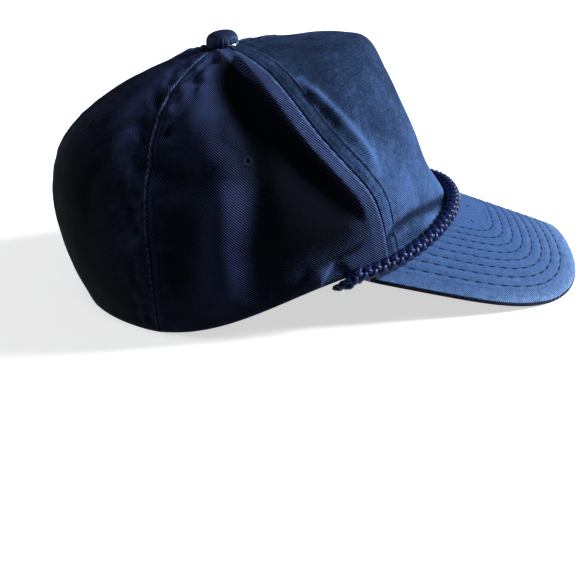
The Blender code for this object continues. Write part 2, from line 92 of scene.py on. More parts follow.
# Folds and dents on the right side, in millimetres: height, width, then the points they run
# through. The left side has the same, weaker.
FOLDS = (
    (2.1, 2.8, SEAM_FOLD),
    (-0.9, 3.2, ((-53.9, -3.6, 100.0), (-58.0, -7.3, 94.7), (-61.3, -10.9, 88.3))),
    (-0.8, 2.6, ((-50.8, 3.7, 104.0), (-55.2, -0.1, 100.1))),
    (-2.2, 2.6, FOOT_DENT),
    (-2.2, 3.0, ((-67.5, -28.0, 44.0), (-74.0, -18.0, 41.0), (-79.6, -8.0, 38.0),
                 (-81.5, 1.5, 34.0), (-82.0, 7.0, 28.0))),
    (4.0, 7.5, ((-78.4, -9.0, 30.0), (-80.0, -3.0, 28.0), (-80.8, 2.0, 26.5))),
    (-0.9, 2.6, ((-56.2, 32.7, 99.9), (-61.0, 37.8, 96.9), (-67.1, 39.9, 93.0), (-71.0, 38.2, 89.2),
                 (-74.1, 32.6, 86.3))),
    (0.8, 7.0, ((-52.8, 55.0, 98.6), (-66.8, 47.7, 90.8), (-78.1, 40.4, 79.1))),
    (-2.4, 4.5, ((-65.7, 72.7, 80.9), (-72.7, 63.5, 77.3), (-77.9, 50.2, 73.8))),
    (-3.6, 9.0, ((-80.0, 60.0, 66.0), (-82.6, 59.5, 53.2), (-83.0, 62.6, 40.4),
                 (-83.6, 59.0, 26.2))),
    (2.0, 7.5, ((-81.2, 36.8, 75.4), (-84.7, 40.2, 65.6), (-87.3, 41.8, 53.0), (-87.6, 43.1, 39.2),
                (-85.2, 46.4, 20.1), (-83.0, 48.5, 10.0))),
    (-4.6, 8.0, ((-31.5, 36.4, 110.1), (-54.5, 29.5, 100.7), (-70.1, 26.1, 89.3),
                 (-79.9, 24.7, 76.8), (-85.8, 24.4, 63.1), (-89.6, 24.8, 46.3), (-89.1, 24.3, 31.1),
                 (-86.0, 26.0, 16.0))),
    (1.2, 6.0, ((-47.7, 81.6, 90.5), (-57.1, 82.4, 83.2))),
    (-1.5, 5.0, ((-52.0, 92.0, 78.0), (-50.0, 97.0, 66.0), (-52.0, 95.0, 52.0))),
)
# Painted light and painted shade in the cloth's colour: paler on ridges and bulges that face the
# light,
# darker in hollows and creases that lie in shade, on the side and back panels and on the front one:
# how pale, width, then points as above.
PAINTED_LIGHT_LINES = (
    (-1.5, 9.0, ((-22.9, 36.6, 112.8), (-47.9, 25.2, 104.6), (-64.9, 14.6, 91.7),
                 (-73.2, 4.4, 77.3))),
    (-0.9, 11.0, ((-75.5, -2.0, 68.0), (-77.4, -7.1, 58.0), (-79.0, -9.0, 46.0))),
    (-1.6, 8.0, ((-42.4, 30.7, 106.6), (-62.7, 24.0, 95.1), (-74.6, 19.2, 81.5),
                 (-82.4, 16.4, 66.0), (-86.4, 15.0, 49.2))),
    (-2.0, 8.0, ((-70.0, 11.4, 84.2), (-77.2, 5.5, 70.6), (-82.0, 1.0, 55.3))),
    (-0.8, 5.0, ((-88.0, 20.9, 33.8), (-83.9, 11.8, 23.0), (-80.6, -0.7, 24.4))),
    (0.6, 5.0, ((-88.0, 34.5, 34.0), (-86.9, 39.1, 20.0), (-84.5, 41.0, 11.0))),
    (0.5, 5.5, ((-84.2, 31.9, 69.6), (-86.9, 33.1, 61.6), (-88.8, 33.7, 51.0), (-89.1, 35.8, 37.2),
                (-86.9, 39.1, 22.0))),
    (1.1, 5.5, ((-14.6, 45.9, 113.2), (-30.4, 46.4, 108.9), (-45.0, 46.5, 103.4),
                (-55.0, 46.0, 98.0))),
    (0.6, 7.0, ((-73.6, -20.7, 32.0), (-76.1, -14.0, 31.0), (-78.4, -7.0, 28.5),
                (-80.0, 0.0, 26.5))),
    (-1.4, 1.3, ((-74.0, -20.0, 40.5), (-76.4, -15.2, 38.3), (-79.2, -7.5, 36.3),
                 (-80.9, 1.0, 33.0), (-81.6, 6.0, 27.8))),
    (-1.3, 8.0, ((-78.0, -10.0, 52.0), (-82.5, -1.0, 50.0), (-85.0, 6.0, 47.0),
                 (-87.0, 14.0, 44.0))),
    (-0.65, 12.0, ((-56.8, 57.0, 95.6), (-68.8, 47.7, 89.8), (-78.1, 41.4, 79.1))),
    (0.5, 7.0, ((-36.6, 81.6, 95.8), (-27.5, 73.0, 102.4), (-17.2, 61.9, 108.8))),
    (-0.9, 9.0, ((-83.2, 54.8, 55.1), (-83.9, 57.3, 45.3), (-83.8, 58.7, 33.5),
                 (-82.0, 60.9, 19.2))),
    (-0.5, 5.0, ((-71.5, 64.4, 78.7), (-76.3, 56.0, 75.5), (-81.1, 47.0, 70.4))),
    (-0.8, 24.0, ((-43.3, 111.5, 65.8), (-51.1, 109.8, 49.0), (-53.3, 107.1, 29.9),
                  (-55.9, 101.2, 15.5))),
    (0.5, 5.0, ((-51.4, 81.3, 88.3), (-56.2, 83.8, 82.9), (-62.5, 82.2, 77.9))),
)
FRONT_PAINTED_LIGHT_LINES = (
    (0.75, 3.0, SEAM_FOLD),
    (-1.3, 2.2, FOOT_DENT),
    (-0.9, 5.0, ((-68.0, -29.0, 33.0), (-62.0, -37.0, 35.0), (-47.0, -50.0, 36.0))),
)
EYELETS = (("side_panel_", (-0.0750, 0.0255, 0.0832)), ("back_panel_", (-0.0283, 0.1018, 0.0873)))
EYELET_HOLE = 0.0010


def alone(piece):
    """Makes a piece the only one that is selected."""
    bpy.ops.object.select_all(action="DESELECT")
    piece.select_set(True)
    bpy.context.view_layer.objects.active = piece


def finish_modifier(piece, kind, **settings):
    """Adds a modifier to a piece and applies it."""
    alone(piece)
    added = piece.modifiers.new(kind.lower(), kind)
    for name, value in settings.items():
        setattr(added, name, value)
    bpy.ops.object.modifier_apply(modifier=added.name)


def finer_copy(node, name, levels, edge=1.0):
    """A smooth, finer copy of a frame piece, its triangles joined to quads and its edges kept."""
    piece = bpy.data.objects.new(name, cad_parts[node].data.copy())
    bpy.context.collection.objects.link(piece)
    alone(piece)
    piece.data.materials.clear()
    bpy.ops.mesh.customdata_custom_splitnormals_clear()
    bpy.ops.object.mode_set(mode="EDIT")
    bpy.ops.mesh.select_all(action="SELECT")
    bpy.ops.mesh.remove_doubles(threshold=1e-5)
    bpy.ops.mesh.tris_convert_to_quads(face_threshold=math.pi, shape_threshold=math.pi)
    bpy.ops.mesh.normals_make_consistent(inside=False)
    bpy.ops.mesh.select_all(action="DESELECT")
    bpy.ops.mesh.select_mode(type="EDGE")
    bpy.ops.mesh.edges_select_sharp(sharpness=math.radians(50))
    bpy.ops.transform.edge_crease(value=edge)
    bpy.ops.mesh.select_mode(type="VERT")
    bpy.ops.object.mode_set(mode="OBJECT")
    finish_modifier(piece, "SUBSURF", levels=levels, render_levels=levels)
    bpy.ops.object.shade_smooth()
    return piece


def points_of(piece):
    points = np.empty(len(piece.data.vertices) * 3)
    piece.data.vertices.foreach_get("co", points)
    return points.reshape(-1, 3)


def place_points(piece, points):
    piece.data.vertices.foreach_set("co", np.asarray(points, float).ravel())
    piece.data.update()


def mark(piece, name, values):
    """Gives each point of a piece a value that its finish reads."""
    piece.data.attributes.new(name, "FLOAT", "POINT").data.foreach_set("value", values)


def lay_map(piece, name, laid):
    """Gives a piece a flat map of its points for a pattern to follow."""
    corners = np.empty(len(piece.data.loops), int)
    piece.data.loops.foreach_get("vertex_index", corners)
    piece.data.uv_layers.new(name=name).data.foreach_set("uv", laid[corners].ravel())


def tree_of(piece):
    return BVHTree.FromPolygons([vertex.co.copy() for vertex in piece.data.vertices],
                                [tuple(face.vertices) for face in piece.data.polygons])


def unit(vectors):
    return vectors / np.linalg.norm(vectors, axis=-1, keepdims=True)


def outward_from(points):
    """Smooth outward directions of the crown."""
    return unit((np.asarray(points) - CROWN_MIDDLE) / CROWN_REACH ** 2)


def ease(share):
    share = np.clip(share, 0.0, 1.0)
    return share * share * (3 - 2 * share)


def ripples(points, size, seed):
    """Smooth noise over points, about -1 to 1, with lumps of a given size in metres."""
    shift = Vector((seed, seed * 0.7, -seed))
    return np.array([noise.noise(Vector(point) / size + shift) for point in points])


def smooth_line(points, step):
    """Points at equal steps along the smooth curve through a few points."""
    points = np.asarray(points, float)
    ends = np.vstack((2 * points[0] - points[1], points, 2 * points[-1] - points[-2]))
    share = np.linspace(0.0, 1.0, 13)[:-1, None]
    fine = [0.5 * (2 * b + (c - a) * share + (2 * a - 5 * b + 4 * c - d) * share ** 2
                   + (3 * b - a - 3 * c + d) * share ** 3)
            for a, b, c, d in zip(ends, ends[1:], ends[2:], ends[3:])]
    fine = np.vstack(fine + [points[-1:]])
    far = np.concatenate(([0.0], np.cumsum(np.linalg.norm(np.diff(fine, axis=0), axis=1))))
    at = np.linspace(0.0, far[-1], max(2, round(far[-1] / step) + 1))
    return np.stack([np.interp(at, far, fine[:, axis]) for axis in range(3)], axis=1)


def beside(points, line):
    """How far points lie from a line, at what share of its length, and its nearest points."""
    gap, share = np.full(len(points), 1e9), np.zeros(len(points))
    nearest, far = np.zeros(points.shape), 0.0
    for start, end in zip(line, line[1:]):
        step = end - start
        length = np.linalg.norm(step)
        part = np.clip((points - start) @ step / length ** 2, 0.0, 1.0)
        spots = start + part[:, None] * step
        distance = np.linalg.norm(points - spots, axis=1)
        closer = distance < gap
        gap[closer], nearest[closer] = distance[closer], spots[closer]
        share[closer] = far + part[closer] * length
        far += length
    return gap, share / far, nearest


SEAM_GAP = 0.0006       # the solids of two panels lie nearer than this along their seam
BUTTON_REACH = 0.009    # seams begin this far from the button's middle


def seam_between(one, other):
    """The line down the outside of the seam between two panels, from the button to the foot."""
    mesh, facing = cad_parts[one].data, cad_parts[other].data
    near = KDTree(len(facing.vertices))
    for index, vertex in enumerate(facing.vertices):
        near.insert(vertex.co, index)
    near.balance()
    found = set()
    for face in mesh.polygons:
        if face.normal.dot(Vector(outward_from(face.center))) > 0.3:
            for index in face.vertices:
                point = mesh.vertices[index].co
                if near.find(point)[2] < SEAM_GAP:
                    found.add(tuple(round(value, 5) for value in point))
    top = (Vector(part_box("button")[0]) + Vector(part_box("button")[1])) / 2
    line = sorted(found, key=lambda point: (Vector(point) - top).length)
    return smooth_line([point for point in line if (Vector(point) - top).length > BUTTON_REACH],
                       0.001)


seams = {}  # the line of the seam between any two panels that are sewn together
for one, others in PANELS.items():
    for other in others:
        known = (other, one) in seams
        seams[one, other] = seams[other, one] if known else seam_between(one, other)

panel_meshes = [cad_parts[node].data for node in PANELS]
corners = [mesh.vertices[index].co.copy() for mesh in panel_meshes for face in mesh.polygons
           for index in face.vertices]
plain_crown = BVHTree.FromPolygons(corners, [(index, index + 1, index + 2)
                                             for index in range(0, len(corners), 3)])


def on_crown(line):
    """The points of a line in millimetres brought out or in to the outside of the crown."""
    laid = []
    for point, outward in zip(line / 1000, outward_from(line / 1000)):
        hit = plain_crown.ray_cast(Vector(point + outward * 0.03), Vector(-outward), 0.06)[0]
        laid.append(point * 1000 if hit is None else np.array(hit) * 1000)
    return np.array(laid)


folds = [(height, width, on_crown(smooth_line(line, 2.0))) for height, width, line in FOLDS]
painted_light_lines = [[(amount, width, on_crown(smooth_line(line, 4.0))) for amount, width, line in table]
         for table in (PAINTED_LIGHT_LINES, FRONT_PAINTED_LIGHT_LINES)]


def bump(distance, width):
    return np.exp(-(distance / width) ** 2)


def on_right(points):
    """Points in millimetres, with those of the left side mirrored to the right."""
    mirrored = points * 1000.0
    mirrored[:, 0] = -np.abs(mirrored[:, 0])
    return mirrored


def fold_height(points):
    """Height in millimetres that folds and unevenness give the cloth, and how pale the swelling by
    the rope's end is painted there, as a painted highlight.
    """
    height = sum(high * ripples(points, size, seed) for high, size, seed in SOFT_WAVES)
    worn_and_lit = np.zeros(len(points))
    right_side = on_right(points)
    weight = np.where(points[:, 0] < 0, 1.0, LEFT_SHARE)
    for depth, width, line in folds:
        gap, share, _ = beside(right_side, line)
        taper = ease(share / FOLD_END + 0.25) * ease((1 - share) / FOLD_END + 0.25)
        height += weight * depth * bump(gap, width) * taper
        if depth > 3:  # only the sharp swelling by the rope's end is painted pale: a painted highlight where it faces the light
            worn_and_lit = np.maximum(worn_and_lit, 0.9 * bump(gap, width * 0.75) * taper)
    return height, worn_and_lit


def painted_light_tone(points, lines):
    """How much paler the crown's cloth is painted, as painted light, or darker below zero, as
    painted shade.
    """
    right_side = on_right(points)
    return sum(amount * bump(beside(right_side, line)[0], width) for amount, width, line in lines)


def seam_relief(panel, other, gap, down, points):
    """Height in millimetres that a seam gives the cloth beside it, nothing at the seam itself."""
    pucker = ripples(points, 0.0055, 3.0) * bump(gap - 7.0, 6.0) * ease(gap / 3.0)
    if other == "front_panel":
        # a stiff raised margin, and behind it a pocket that closes above the brim
        open_part = ease((down - 0.03) / 0.10) * ease((0.92 - down) / 0.30)
        past = gap - MARGIN[0] - (MARGIN[1] - MARGIN[0]) * ease(down / 0.3)
        margin = MARGIN_LIFT * (1 - bump(gap, 5.0)) * (1 - ease((past + 0.6) / 2.2))
        hollow = HOLLOW_DEPTH * ease(past / 2.6) * bump(np.maximum(past - 3.0, 0.0), 15.0)
        return open_part * (margin - hollow) + 0.3 * pucker * ease((past + 4.0) / 4.0)
    kind = "front" if panel == "front_panel" else "side" if "side" in panel + other else "back"
    lift, reach, puckers = SEAM_WELTS[kind]
    return (1 - bump(gap, 1.6)) * (lift * ease((reach - gap) / 2.0) + puckers * pucker)


def shape_cloth(piece, panel):
    """Works seams, puckers and folds into a panel, and marks how far its cloth is from a seam."""
    points = points_of(piece)
    height, worn_and_lit = fold_height(points)
    closing = np.zeros(points.shape)
    gaps = {}
    for name, other in zip(("first_seam", "second_seam"), PANELS[panel]):
        _, down, nearest = beside(points, seams[panel, other])
        outward = outward_from(nearest)
        gap = points - nearest
        gap -= outward * np.sum(gap * outward, axis=1, keepdims=True)
        distance = np.linalg.norm(gap, axis=1)
        height += seam_relief(panel, other, distance * 1000, down, points)
        closing -= gap / distance[:, None] * SEAM_CLOSE * ease(1 - distance / 0.003)[:, None]
        gaps[name] = distance * 1000
        mark(piece, name, gaps[name])
    foot = foot_gap(points)
    # by the brim's ends the foot is held out by the brim's root, so the cloth doesn't sink there
    over_brim = ease((0.012 - points[:, 1]) / 0.012) * ease((0.056 - points[:, 2]) / 0.012)
    over_brim *= "side" in panel
    height = np.where(height < 0, height * (1 - over_brim), height) + 0.5 * over_brim
    height *= ease(foot / (0.007 - 0.004 * over_brim))
    worn_and_lit = np.maximum(worn_and_lit, 0.6 * bump(foot, 0.0013))
    place_points(piece, points + closing + outward_from(points) * height[:, None] * 0.001)
    # painted light and shade: raised cloth is painted paler and sunk cloth darker
    dye_and_painted_light = np.clip(height / 4.5, -0.6, 0.8)
    # more painted light and shade along the lines of the tables above
    dye_and_painted_light = np.clip(dye_and_painted_light + painted_light_tone(points, painted_light_lines[panel == "front_panel"]), -2.4, 1.4)
    if "side" in panel:
        # the stiff margin is evenly washed out and a little rubbed
        margin = 1 - ease((gaps["first_seam"] - 6.5) / 2.0)
        dye_and_painted_light += (0.45 - dye_and_painted_light * 0.8) * margin
        worn_and_lit = np.maximum(worn_and_lit, 0.24 * margin)
    if panel == "front_panel":
        # the front is paler towards its foot
        dye_and_painted_light += 1.15 * ease((0.105 - points[:, 2]) / 0.075) - 0.28
    mark(piece, "wear_and_highlight", worn_and_lit)
    mark(piece, "dye_and_painted_light", dye_and_painted_light)


def turns_round(points):
    """Which way points lie from the middle of the crown, in radians from its front."""
    return np.arctan2(points[:, 0], -(points[:, 1] - CROWN_MIDDLE[1]))


# the crown's lower edge, all the way round
foot_points = np.array([tuple(vertex.co) for mesh in panel_meshes for vertex in mesh.vertices])
foot_turns = turns_round(foot_points)
FOOT_TURNS = np.linspace(-math.pi, math.pi, 73)
foot_low = []
for turn in FOOT_TURNS:
    apart = np.abs((foot_turns - turn + math.pi) % (2 * math.pi) - math.pi)
    foot_low.append(foot_points[apart < 0.07, 2].min())


def foot_gap(points):
    """Height of points above the crown's lower edge."""
    return np.maximum(points[:, 2] - np.interp(turns_round(points), FOOT_TURNS, foot_low), 0.0)


def lay_pattern(piece, middle):
    """A map of the cloth in metres: round the crown, and down from its top."""
    points = points_of(piece)
    turns = turns_round(points) - math.radians(middle)
    turns = (turns + math.pi) % (2 * math.pi) - math.pi
    out = np.hypot(points[:, 0], points[:, 1] - CROWN_MIDDLE[1])
    up = np.arctan2(points[:, 2] - 0.020, out)
    lay_map(piece, "cloth", np.stack((out * turns, 0.095 * up), axis=1))


class Wire:
    """A value in a finish, so that sums on it read as sums."""

    def __init__(self, tree, socket=None):
        self.tree, self.socket = tree, socket

    def node(self, kind, inputs=(), out=0, **settings):
        made = self.tree.nodes.new("ShaderNode" + kind)
        for name, value in settings.items():
            setattr(made, name, value)
        for key, value in dict(inputs).items():
            if isinstance(value, Wire):
                self.tree.links.new(value.socket, made.inputs[key])
            else:
                made.inputs[key].default_value = value
        return Wire(self.tree, made.outputs[out])

    def other(self, name):
        return Wire(self.tree, self.socket.node.outputs[name])

    def sum(self, operation, *values):
        return self.node("Math", enumerate(values), operation=operation)

    def __add__(self, other):
        return self.sum("ADD", self, other)

    def __sub__(self, other):
        return self.sum("SUBTRACT", self, other)

    def __rsub__(self, other):
        return self.sum("SUBTRACT", other, self)

    def __mul__(self, other):
        return self.sum("MULTIPLY", self, other)

    def __truediv__(self, other):
        return self.sum("DIVIDE", self, other)

    __radd__, __rmul__ = __add__, __mul__

    def wave(self):
        """0 to 1 and back, once for each whole step of the value."""
        return self.sum("SINE", self * (2 * math.pi)) * 0.5 + 0.5

    def size(self):
        return self.sum("ABSOLUTE", self)

    def held(self):
        """Kept between 0 and 1."""
        return self.node("Clamp", {0: self})

    def between(self, low, high):
        """0 below low, 1 above high."""
        return self.node("MapRange", {0: self, 1: low, 2: high}, interpolation_type="SMOOTHSTEP")

    def blend(self, first, second):
        """First colour where the value is 0, second where it is 1."""
        return self.node("Mix", {0: self, 6: first, 7: second}, out=2, data_type="RGBA")

    def place(self):
        """Where on the object a point is."""
        return self.node("TexCoord", out="Object")

    def marked(self, name):
        """The value that mark() gave each point under a name."""
        return self.node("Attribute", attribute_name=name, out="Fac")

    def grain(self, place, scale, detail=2.0, rough=0.5):
        return self.node("TexNoise", {"Vector": place, "Scale": scale, "Detail": detail,
                                      "Roughness": rough})

    def relief(self, height, strength, distance):
        return self.node("Bump", {"Height": height, "Strength": strength, "Distance": distance})


def new_finish(name, roughness, **constants):
    """An empty finish with its unchanging values set on the shader itself."""
    finish = bpy.data.materials.new(name)
    finish.use_nodes = True
    shader = finish.node_tree.nodes["Principled BSDF"]
    shader.inputs["Roughness"].default_value = roughness
    for key, value in constants.items():
        shader.inputs[key.replace("_", " ")].default_value = value
    return finish, shader, Wire(finish.node_tree)


def join_up(finish, shader, **wires):
    for key, wire in wires.items():
        finish.node_tree.links.new(wire.socket, shader.inputs[key.replace("_", " ")])


def twill(name, deep, pale, worn_and_lit, wale=0.0009, fade=0.4, mottle=0.5, weave=0.5, rise=0.6,
          cloudy=1.2, specks=0.9, rows=()):
    """Twill: slanting wales, dye washed out unevenly, drawn in along rows of stitching.

    A wale is the metres from one slanting rib to the next. fade is how far the dye has washed out,
    mottle how unevenly, in clouds and in specks, weave how much paler the ribs are, and rise how
    high they stand. Each row has the name of a mark on the cloth, the millimetres at which it lies
    on it, how much darker its groove is painted, as painted shade, and how much paler the crest
    beyond it is painted, as rubbing and painted highlight, more so higher up.
    """
    finish, shader, wire = new_finish(name, 0.88, Specular_IOR_Level=0.05)
    cloth = wire.node("UVMap", uv_map="cloth")
    place = wire.place()
    round_crown = wire.node("SeparateXYZ", {0: cloth})
    downward = round_crown.other("Y")
    across = (round_crown * 0.66 + downward * 0.75) / wale + wire.grain(place, 160.0, 1.0) * 0.9
    ridge = across.wave() * across.wave() * 1.2
    fine = wire.grain(place, 1500.0, 3.0, 0.7)
    spots = wire.grain(place, 420.0, 3.0, 0.6)
    patches = wire.grain(place, 55.0, 4.0, 0.6)
    thread = ridge * (fine * 0.9 + 0.55)
    washed = (fade + (thread - 0.5) * weave + (spots - 0.5) * mottle
              + (fine - 0.5) * mottle * specks + (patches - 0.5) * mottle * cloudy)
    # the painted light and shade and the dye's fading marked on each crown panel
    washed = washed + wire.marked("dye_and_painted_light") * 0.6
    wear_and_highlight = wire.marked("wear_and_highlight")
    height = thread * 0.8 + fine * 0.4 + spots * 0.4
    drawn = wire.grain(place, 330.0, 2.0) * 1.4 + 0.25
    up = wire.node("SeparateXYZ", {0: place}).other("Z")
    high = up.between(0.02, 0.10) * 0.75 + 0.25
    for name_of_gap, at, dark, pale_edge in rows:
        gap = wire.marked(name_of_gap)
        off = (gap - at).size()
        # painted shade: the cloth along the groove of each seam and row of stitching is painted
        # darker
        line = (1 - off.between(0.15, 0.95)) * drawn
        # painted highlight and rubbing: the crest beyond the row is painted paler, more so higher
        # up
        crest = (gap.between(at + 0.2, at + 0.8) * (1 - gap.between(at + 1.1, at + 2.2))
                 * drawn * drawn * high)
        washed = washed - line * dark
        wear_and_highlight = wear_and_highlight + crest * pale_edge
        height = height - line * (2.4 * dark) + crest * (0.8 * pale_edge)
    # pale thread colour where the cloth is rubbing through and where a highlight is painted on
    rubbed_and_lit = (wear_and_highlight * (spots * 1.6 - 0.15) * (ridge * 0.9 + 0.3)).held()
    colour = rubbed_and_lit.blend(washed.held().blend(deep, pale), worn_and_lit)
    join_up(finish, shader, Base_Color=colour, Roughness=0.95 - thread * 0.12,
            Normal=wire.relief(height, rise, 0.0005))
    return finish


# deep dye, washed-out dye, and the pale thread colour of rubbing and of painted highlights, of the
# crown's cloth
navy = ((0.0010, 0.0018, 0.0055, 1), (0.044, 0.069, 0.190, 1), (0.09, 0.155, 0.37, 1))
side_twill = twill("navy_twill", *navy, fade=0.19, mottle=0.35, weave=1.2, rise=0.42,
                   rows=(("first_seam", 0.0, 0.4, 0.9), ("second_seam", 0.0, 1.0, 0.0),
                         ("second_seam", BACK_ROWS[0], 0.35, 0.0)))
back_twill = twill("navy_twill_back", *navy, fade=0.20, mottle=0.45, weave=0.20, rise=0.35,
                   rows=(("first_seam", 0.0, 0.5, 1.1), ("second_seam", 0.0, 0.9, 0.2),
                         ("second_seam", MIDDLE_ROW, 0.4, 0.0)))
front_twill = twill("washed_navy_twill", (0.0060, 0.0125, 0.035, 1), (0.072, 0.148, 0.355, 1),
                    (0.14, 0.27, 0.54, 1), wale=0.00085, fade=0.30, mottle=0.95, weave=0.60,
                    rise=0.7,
                    rows=(("first_seam", 0.0, 1.0, 0.0), ("second_seam", 0.0, 1.0, 0.0),
                          ("first_seam", 2.5, 0.18, 0.0), ("second_seam", 2.5, 0.18, 0.0),
                          ("first_seam", TOP_ROW, 0.9, 0.25), ("second_seam", TOP_ROW, 0.9, 0.25)))
twill_back = twill("navy_twill_reverse", (0.006, 0.008, 0.018, 1), (0.022, 0.030, 0.065, 1),
                   (0.05, 0.06, 0.12, 1), fade=0.5, mottle=0.3, weave=0.6, rise=0.6)
stiffener = twill("front_stiffener", (0.010, 0.012, 0.018, 1), (0.050, 0.055, 0.070, 1),
                  (0.06, 0.07, 0.09, 1), wale=0.0016, fade=0.45, mottle=0.2, weave=0.9, rise=0.9)


def line_inside(piece, finish):
    """Gives a wall's inner faces their own finish."""
    piece.data.materials.append(finish)
    for face in piece.data.polygons:
        if face.normal.dot(Vector(outward_from(face.center))) < -0.2:
            face.material_index = len(piece.data.materials) - 1


def punch(piece, spot, outward):
    """A small round hole through a panel, for an eyelet."""
    bpy.ops.object.select_all(action="DESELECT")
    turn = Vector(outward).to_track_quat("Z", "Y").to_euler()
    bpy.ops.mesh.primitive_cylinder_add(vertices=20, radius=EYELET_HOLE, depth=0.016, location=spot,
                                        rotation=turn)
    cutter = bpy.context.object
    finish_modifier(piece, "BOOLEAN", operation="DIFFERENCE", object=cutter, solver="EXACT")
    bpy.data.objects.remove(cutter)


crown, crown_trees = {}, {}
eyelet_spots = []
for panel in PANELS:
    piece = finer_copy(panel, panel + "_cloth", 3)
    crown[panel] = piece
    lay_pattern(piece, PANEL_MIDDLES[panel])
    shape_cloth(piece, panel)
    tree = tree_of(piece)
    for kind, (x, y, z) in EYELETS:
        for side, turned in (("right", 1), ("left", -1)):
            if panel == kind + side:
                spot, normal, _, _ = tree.find_nearest(Vector((x * turned, y, z)))
                punch(piece, spot, normal)
                eyelet_spots.append((spot, normal))
    piece.data.materials.append(front_twill if panel == "front_panel" else
                                side_twill if "side" in panel else back_twill)
    line_inside(piece, stiffener if panel == "front_panel" else twill_back)
    crown_trees[panel] = tree_of(piece)
    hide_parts(panel)
    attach(piece, "root")


# Stitching of the crown. Navy cotton thread, sewn in rows beside every seam, where it holds the
# folded-back cloth, and in a close ring round each punched eyelet.

SEAM_STITCH = 0.0032            # from one stitch to the next
THREAD_WIDE = 0.00050
THREAD_SUNK = 0.00012           # how far thread pulls into the cloth
RING_STITCHES, RING_RADIUS = 26, 0.00195

bpy.ops.object.select_all(action="DESELECT")
bpy.ops.mesh.primitive_uv_sphere_add(segments=6, ring_count=5, radius=0.5,
                                     rotation=(0, math.pi / 2, 0))
bead = bpy.context.object
bpy.ops.object.transform_apply(location=True, rotation=True, scale=True)
bead_points = points_of(bead)
bead_points[:, 2] -= 0.9 * bead_points[:, 0] ** 2
bead_faces = [tuple(face.vertices) for face in bead.data.polygons]
bpy.data.objects.remove(bead)


def new_piece(name, points, faces):
    """A piece from its points and faces, and the only one that is selected."""
    mesh = bpy.data.meshes.new(name)
    mesh.from_pydata(points, [], faces)
    piece = bpy.data.objects.new(name, mesh)
    bpy.context.collection.objects.link(piece)
    alone(piece)
    return piece


def sew(name, places, length, width, sink=0.0):
    """One mesh of equal stitches, each set at its own place and turn: spot, direction, normal."""
    spots, alongs, ups = (np.array([tuple(part) for part in parts], float)
                          for parts in zip(*places))
    ups = unit(ups)
    alongs = unit(alongs - ups * np.sum(alongs * ups, axis=1, keepdims=True))
    across = np.cross(ups, alongs)
    lengths = np.broadcast_to(np.asarray(length, float), len(spots))[:, None, None]
    shape = bead_points[None] * (1.0, width, width * 0.8)
    points = (spots[:, None] + shape[..., :1] * lengths * alongs[:, None]
              + shape[..., 1:2] * across[:, None] + (shape[..., 2:] - sink) * ups[:, None])
    faces = [[index + stitch * len(bead_points) for index in face]
             for stitch in range(len(spots)) for face in bead_faces]
    piece = new_piece(name, points.reshape(-1, 3).tolist(), faces)
    bpy.ops.object.shade_smooth()
    return piece


def row_places(spots, ups, pitch, first=0.5):
    """Places for stitches at equal steps along a row of points on the cloth."""
    spots, ups = np.array(spots, float), np.array(ups, float)
    far = np.concatenate(([0.0], np.cumsum(np.linalg.norm(np.diff(spots, axis=0), axis=1))))
    at = np.arange(pitch * first, far[-1], pitch)

    def along(values, where):
        return np.stack([np.interp(where, far, values[:, axis]) for axis in range(3)], axis=1)

    courses = along(spots, at + 0.0008) - along(spots, at - 0.0008)
    return list(zip(along(spots, at), courses, along(ups, at)))


def row_beside(line, panel, offset, pitch):
    """A row of stitches beside a seam, on one of its two panels."""
    outward = outward_from(line)
    side = unit(np.cross(np.gradient(line, axis=0), outward))
    middle = points_of(crown[panel]).mean(axis=0)
    if np.sum(side * (middle - line)) < 0:
        side = -side
    spots, ups = [], []
    for guess, up in zip(line + side * offset, outward):
        spot, normal, _, _ = crown_trees[panel].find_nearest(Vector(guess) + Vector(up) * 0.001)
        spots.append(spot)
        ups.append(normal)
    return row_places(spots[2:-2], ups[2:-2], pitch)


def thread(name, deep, pale):
    finish, shader, wire = new_finish(name, 0.7, Specular_IOR_Level=0.05)
    place = wire.place()
    lengthways = wire.grain(place, 2600.0, 1.0)
    tint = wire.grain(place, 140.0, 2.0)
    join_up(finish, shader, Base_Color=(tint * 1.4 - 0.2).held().blend(deep, pale),
            Roughness=0.45 + lengthways * 0.3, Normal=wire.relief(lengthways, 0.4, 0.0003))
    return finish


navy_thread = thread("navy_thread", (0.0015, 0.003, 0.010, 1), (0.005, 0.009, 0.026, 1))
worn_thread = thread("worn_navy_thread", (0.06, 0.085, 0.18, 1), (0.20, 0.27, 0.45, 1))

front_rows, back_rows = [], []
# one loose thread end hangs from the foot of a side panel
middle_rows = [(Vector((-0.0766, 0.0663, 0.0030)), Vector((0.0, 0.35, -1.0)),
                Vector((-1.0, 0.3, 0.0)))]
for side in ("right", "left"):
    front_line = seams["front_panel", "side_panel_" + side]
    front_rows += row_beside(front_line, "front_panel", TOP_ROW / 1000, SEAM_STITCH)
    back_line = seams["side_panel_" + side, "back_panel_" + side]
    middle_rows += row_beside(back_line, "side_panel_" + side, BACK_ROWS[0] / 1000, SEAM_STITCH)
    back_rows += row_beside(back_line, "back_panel_" + side, BACK_ROWS[1] / 1000, SEAM_STITCH)
    middle_rows += row_beside(seams["back_panel_right", "back_panel_left"], "back_panel_" + side,
                              MIDDLE_ROW / 1000, SEAM_STITCH)
for name, places, finish in (("front_seam_stitches", front_rows, navy_thread),
                             ("back_seam_stitches", back_rows, worn_thread),
                             ("middle_seam_stitches", middle_rows, navy_thread)):
    piece = sew(name, places, SEAM_STITCH * 0.80, THREAD_WIDE, sink=THREAD_SUNK)
    piece.data.materials.append(finish)
    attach(piece, "root")

